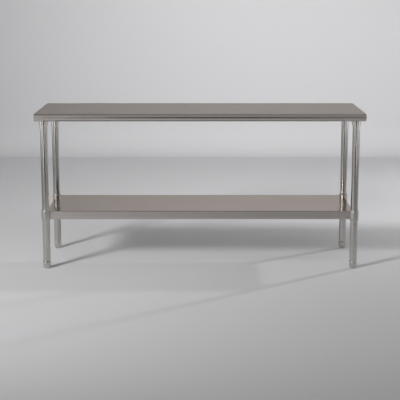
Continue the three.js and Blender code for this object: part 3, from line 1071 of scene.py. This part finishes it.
class WORKTABLE_OT_feet(Operator):
    """Make the leg inserts, the foot stems and the bullet feet"""
    bl_idname = "work_table.feet"
    bl_label = "Levelling feet"

    def execute(self, context):
        rounds = context.scene.work_table_rounds
        for corner in CORNERS:
            place = Matrix.Translation(leg_axis(corner))
            low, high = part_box(f"foot_stem_{corner}")
            stem_radius = radius_of(f"foot_stem_{corner}")
            foot_low, foot_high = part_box(f"bullet_foot_{corner}")
            neck_top = foot_high.z + rounds.clearance
            neck = turned([
                (0, low.z, 0), (NECK_RADIUS, low.z, 0.0004), (NECK_RADIUS, neck_top + 0.001, 0),
                (0, neck_top + 0.001, 0),
            ], rounds.small_sides)
            stem = threaded(stem_radius, rounds.stem_pitch, neck_top, high.z, rounds.small_sides, 0.0008)
            piece(placed(merged(neck, stem), place), f"threaded_stem_{corner}", f"stem_{corner}",
                  finish("zinc"), [f"foot_stem_{corner}"])
            foot = bullet_body(foot_low.z, foot_high.z, radius_of(f"bullet_foot_{corner}"), rounds)
            piece(placed(foot, place), f"foot_{corner}_bullet", f"foot_{corner}",
                  finish("turned_polish"), [f"bullet_foot_{corner}"])
            low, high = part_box(f"foot_insert_{corner}")
            outer = radius_of(f"foot_insert_{corner}")
            bore = stem_radius + rounds.clearance
            insert = turned([
                (bore, low.z, 0.0008), (outer, low.z, 0.0006), (outer, high.z, 0.001), (bore, high.z, 0.001),
            ], rounds.sides, 3, closed=True)
            piece(placed(insert, place), f"leg_insert_{corner}", "frame", finish("zinc"),
                  [f"foot_insert_{corner}"])
        return {"FINISHED"}


class WORKTABLE_OT_undershelf(Operator):
    """Fold the undershelf's sheet and notch its corners round the clamps"""
    bl_idname = "work_table.undershelf"
    bl_label = "Undershelf"

    def execute(self, context):
        sheet = context.scene.work_table_sheet
        rounds = context.scene.work_table_rounds
        low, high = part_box("undershelf")
        skin = folded_tray(low, high, sheet.shelf_bend, sheet.shelf_lip, sheet.shelf_bend, 5)
        notches = []
        for corner in CORNERS:
            axis = leg_axis(corner)
            clamp_low, clamp_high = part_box(f"corner_clamp_{corner}")
            outside = min(abs(clamp_low.x - axis.x), abs(clamp_high.x - axis.x))
            notch = turned([
                (0, low.z - 0.01, 0), (outside + rounds.clearance, low.z - 0.01, 0),
                (outside + rounds.clearance, high.z + 0.01, 0), (0, high.z + 0.01, 0),
            ], rounds.sides)
            notches.append(("DIFFERENCE", placed(notch, Matrix.Translation(axis))))
        tray = combined(walled(skin, sheet.shelf_gauge), *notches)
        piece(tray, "undershelf_sheet", "undershelf", finish("shelf_satin"), ["undershelf"])
        return {"FINISHED"}


class WORKTABLE_OT_clamps(Operator):
    """Make the undershelf's corner clamps and their set screws"""
    bl_idname = "work_table.clamps"
    bl_label = "Corner clamps"

    def execute(self, context):
        sheet = context.scene.work_table_sheet
        rounds = context.scene.work_table_rounds
        shelf_low, shelf_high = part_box("undershelf")
        for corner in CORNERS:
            axis = leg_axis(corner)
            place = Matrix.Translation(axis) @ Matrix.Rotation(inward_turn(corner), 4, "Z")
            low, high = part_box(f"corner_clamp_{corner}")
            leg_radius = radius_of(f"leg_{corner}")
            setback = abs(axis.x) - max(abs(shelf_low.x), abs(shelf_high.x))
            near = setback + sheet.shelf_gauge + rounds.clearance
            shelf = (near, near + sheet.wing, shelf_low.z + sheet.shelf_gauge + rounds.clearance,
                     shelf_high.z - sheet.shelf_gauge - rounds.clearance)
            clamp = clamp_body(low.z, high.z, leg_radius, shelf, rounds)
            piece(placed(clamp, place), f"clamp_{corner}", "undershelf",
                  finish("casting"), [f"corner_clamp_{corner}"])
            screw_low, screw_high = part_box(f"clamp_screw_{corner}")
            screw = set_screw(leg_radius + rounds.clearance, CLAMP_SCREW_REACH, rounds)
            height = Matrix.Translation((0, 0, (screw_low.z + screw_high.z) / 2))
            placed(screw, place @ Matrix.Rotation(math.pi / 4, 4, "Z") @ height)
            piece(screw, f"clamp_set_screw_{corner}", "undershelf", finish("oxide"),
                  [f"clamp_screw_{corner}"])
        return {"FINISHED"}


def stage_piece(bm, name, material):
    """Makes a bmesh a part of the stage."""
    mesh = to_mesh(bm, name)
    mesh.materials.append(material)
    obj = bpy.data.objects.new(name, mesh)
    bpy.context.scene.collection.objects.link(obj)
    return obj


def area_light(name, power, place, aim, size, spread, mirrored=False):
    """A rectangular light that is aimed at a point, with its beam narrowed to a spread in degrees.

    mirrored says whether the steel shows a reflection of the light itself.
    """
    light = bpy.data.lights.new(name, "AREA")
    light.shape = "RECTANGLE"
    light.size, light.size_y = size
    light.spread = math.radians(spread)
    light.energy = power
    obj = bpy.data.objects.new(name, light)
    bpy.context.scene.collection.objects.link(obj)
    direction = Vector(aim) - Vector(place)
    obj.matrix_world = Matrix.Translation(place) @ direction.to_track_quat("-Z", "Y").to_matrix().to_4x4()
    obj.visible_glossy = mirrored
    obj.visible_camera = False


class WORKTABLE_OT_stage(Operator):
    """Set up the seamless backdrop, the studio lights and the camera"""
    bl_idname = "work_table.stage"
    bl_label = "Stage"

    def execute(self, context):
        stage = context.scene.work_table_stage
        self.backdrop(stage)
        self.screen()
        self.lights(stage)
        self.room(stage)
        self.camera(stage)
        context.scene.view_settings.view_transform = "Standard"
        return {"FINISHED"}

    def backdrop(self, stage):
        """A floor that sweeps up into a wall behind the table."""
        half_width, near, wall = 14, -16, stage.backdrop_distance
        bm = bmesh.new()
        profile_wire(bm, [
            ((-half_width, near, 0), 0),
            ((-half_width, wall, 0), stage.backdrop_sweep),
            ((-half_width, wall, stage.backdrop_height), 0),
        ], 24)
        swept_along_x(bm, 2 * half_width)
        if max(bm.faces, key=lambda f: f.calc_area()).normal.z < 0:
            bmesh.ops.reverse_faces(bm, faces=bm.faces[:])
        shade_smooth(bm)
        stage_piece(bm, "backdrop", finish("backdrop"))

    def screen(self):
        """A dark screen that stands behind the camera, and a dark strip of painted shade that runs from it
        along the floor under the camera; the camera sees neither, and only reflections show them.
        """
        half_width, height, thickness = 1.1, 3.4, 0.05
        screen_front, shade_strip_front = -6.9, -2.75
        upright = rounded_block(
            (-half_width, screen_front - thickness, 0.005), (half_width, screen_front, height), 0.01)
        # The strip is painted shade: a dark sheet on the floor where shade falls in front of the table, seen
        # only in the steel's reflections.
        cloth = rounded_block(
            (-half_width, screen_front + 0.01, 0.001), (half_width, shade_strip_front, 0.007), 0.002)
        obj = stage_piece(merged(upright, cloth), "screen", finish("screen"))
        obj.visible_camera = False
        obj.visible_diffuse = False

    def lights(self, stage):
        """A key and a rim light, and soft lights for the floor, the table's ends and the wall."""
        area_light(
            "Key light", stage.key_power, place=(-3.56, -3.9, 2.5), aim=(3, 4, 0.3),
            size=(0.9, 0.9), spread=78, mirrored=True)
        area_light(
            "Rim light", stage.rim_power, place=(5.0, 3.1, 2.5), aim=(-1.5, -0.8, 0.3),
            size=(0.25, 0.25), spread=70, mirrored=True)
        area_light(
            "Floor light", stage.pool_power, place=(4.09, 2.2, 2.5), aim=(3, 1.97, 0.3),
            size=(0.3, 0.3), spread=65)
        for side, label in ((-1, "left"), (1, "right")):
            area_light(
                f"Front light, {label}", stage.front_power, place=(2.9 * side, -5.9, 2.4),
                aim=(2.9 * side, -5.8, 0), size=(1.8, 3.2), spread=70)
            area_light(
                f"Side softbox, {label}", stage.side_power, place=(7 * side, -1.0, 0.46),
                aim=(0, -1.0, 0.46), size=(4.5, 0.85), spread=180, mirrored=True)
        area_light(
            "Wall light, far", stage.wall_power, place=(0.3, -2.5, 4.0), aim=(0.5, 4.15, 1.0),
            size=(5, 0.8), spread=90)
        area_light(
            "Wall light, near", stage.wall_power, place=(0.6, -0.5, 3.2), aim=(0.6, 4.15, 1.6),
            size=(3, 0.6), spread=100)

    def room(self, stage):
        """Soft light from overhead that dims towards the horizon."""
        world = bpy.data.worlds.new("Studio")
        bpy.context.scene.world = world
        world.use_nodes = True
        tree = world.node_tree
        sky = tree.nodes.new("ShaderNodeTexCoord").outputs["Generated"]
        direction = shader_node(tree, "ShaderNodeSeparateXYZ", Vector=sky)
        share = spread(tree, direction.outputs["Z"], 0.0, 0.5, stage.horizon_share, 1.0)
        background = tree.nodes["Background"]
        tree.links.new(share, background.inputs["Color"])
        background.inputs["Strength"].default_value = stage.room_light

    def camera(self, stage):
        """The camera, in front of the table's middle and looking down a little."""
        data = bpy.data.cameras.new("Camera")
        data.lens = stage.lens
        data.sensor_width = 36
        data.clip_end = 100
        obj = bpy.data.objects.new("Camera", data)
        bpy.context.scene.collection.objects.link(obj)
        obj.location = (0, -stage.camera_distance, stage.camera_height)
        obj.rotation_euler = (math.pi / 2 - stage.camera_pitch, 0, 0)
        bpy.context.scene.camera = obj


PARTS = (
    WORKTABLE_OT_worktop,
    WORKTABLE_OT_channels,
    WORKTABLE_OT_tapes,
    WORKTABLE_OT_fasteners,
    WORKTABLE_OT_legs,
    WORKTABLE_OT_sockets,
    WORKTABLE_OT_feet,
    WORKTABLE_OT_undershelf,
    WORKTABLE_OT_clamps,
    WORKTABLE_OT_stage,
)
SETTINGS = {
    "work_table_sheet": SheetSettings,
    "work_table_rounds": RoundSettings,
    "work_table_finish": FinishSettings,
    "work_table_stage": StageSettings,
}


class WORKTABLE_PT_panel(Panel):
    """The work table's settings and the buttons that build it"""
    bl_idname = "WORKTABLE_PT_panel"
    bl_label = "Stainless Work Table"
    bl_space_type = "VIEW_3D"
    bl_region_type = "UI"
    bl_category = "Work Table"

    def draw(self, context):
        column = self.layout.column()
        for name, settings in SETTINGS.items():
            box = column.box()
            for label in settings.__annotations__:
                box.prop(getattr(context.scene, name), label)
        for part in PARTS:
            column.operator(part.bl_idname)


def register():
    for item in (*SETTINGS.values(), *PARTS, WORKTABLE_PT_panel):
        bpy.utils.register_class(item)
    for name, settings in SETTINGS.items():
        setattr(bpy.types.Scene, name, PointerProperty(type=settings))


def unregister():
    for name in SETTINGS:
        delattr(bpy.types.Scene, name)
    for item in (WORKTABLE_PT_panel, *reversed(PARTS), *reversed(SETTINGS.values())):
        bpy.utils.unregister_class(item)


def main():
    register()
    for part in PARTS:
        category, name = part.bl_idname.split(".")
        getattr(getattr(bpy.ops, category), name)()


if __name__ == "__main__":
    main()
